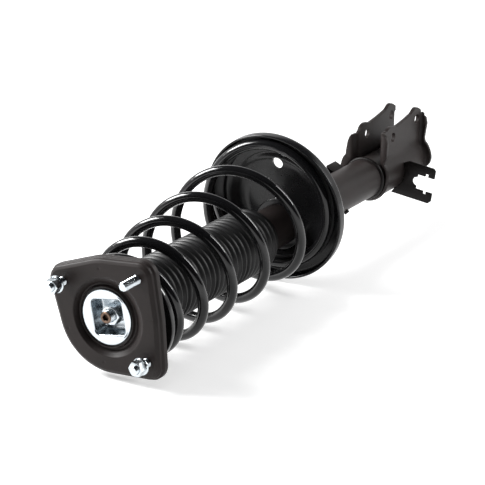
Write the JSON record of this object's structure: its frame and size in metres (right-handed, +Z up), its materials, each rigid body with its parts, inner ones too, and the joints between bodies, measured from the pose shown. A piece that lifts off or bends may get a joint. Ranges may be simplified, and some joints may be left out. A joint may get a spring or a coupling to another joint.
{
  "type": "suspension strut assembly",
  "caption": "Front suspension strut lying on its side: studded top mount with swivel bearing, coil spring, ribbed boot, damper tube and knuckle bracket.",
  "frame": {"origin": "middle of the part's box on the ground it lies on, with the mount plate's skirt and the lower seat's rim resting at Z = 0", "axes": "+Y along the strut from the top mount to the knuckle bracket, +Z up, +X to the right seen from the top mount; the strut's axis lies 4 mm left of X = 0 at Z = 63.1 mm"},
  "size_m": [0.183, 0.7344, 0.1879],
  "materials": {
    "satin_paint": "satin dark coat",
    "gloss_paint": "gloss black coat",
    "zinc": "bright zinc plate",
    "steel": "machined",
    "chrome_rod": "ground and plated",
    "rubber": "matt moulded",
    "boot_rubber": "matt moulded",
    "foam": "foamed",
    "nylon": "moulded"
  },
  "bodies": {
    "mount": {"mount_plate": "satin_paint", "mount_lower_plate": "satin_paint", "mount_rubber": "rubber", "mount_cup": "zinc", "mount_studs": "zinc", "stud_nuts": "zinc", "rod_nut": "zinc", "rod_washer": "zinc", "bearing_upper_race": "steel", "piston_rod": "chrome_rod", "rebound_cushion": "rubber", "rebound_stop": "steel", "piston": "steel", "piston_band": "nylon", "piston_nut": "steel"},
    "seat": {"bearing_balls": "steel", "bearing_cage": "nylon", "bearing_lower_race": "steel", "upper_spring_seat": "satin_paint", "upper_spring_pad": "rubber", "bump_stop": "foam"},
    "strut": {"coil_spring": "gloss_paint", "dust_boot": "boot_rubber", "lower_spring_pad": "rubber", "lower_spring_seat": "gloss_paint", "strut_tube": "satin_paint", "tube_top_cap": "steel", "rod_seal": "rubber", "rod_guide": "steel", "pressure_tube": "steel", "foot_valve": "steel", "tube_base_cap": "satin_paint", "knuckle_bracket_left": "satin_paint", "knuckle_bracket_right": "satin_paint", "hose_bracket": "gloss_paint", "wire_clip": "gloss_paint", "tube_tab": "gloss_paint", "seat_weld": "satin_paint", "bracket_weld": "satin_paint"}
  },
  "joints": [
    {"name": "rod_slide", "type": "slide", "parent": "strut", "child": "seat", "axis": [0, 1, 0], "range_m": [0, 0.105], "stiffness_N_per_m": 25000, "springref_m": -0.03, "deforming": ["coil_spring", "dust_boot"]},
    {"name": "mount_swivel", "type": "hinge", "parent": "seat", "child": "mount", "pos_m": [-0.004, -0.30555, 0.06814], "axis": [0, 1, 0], "range_deg": [-40, 40]}
  ]
}
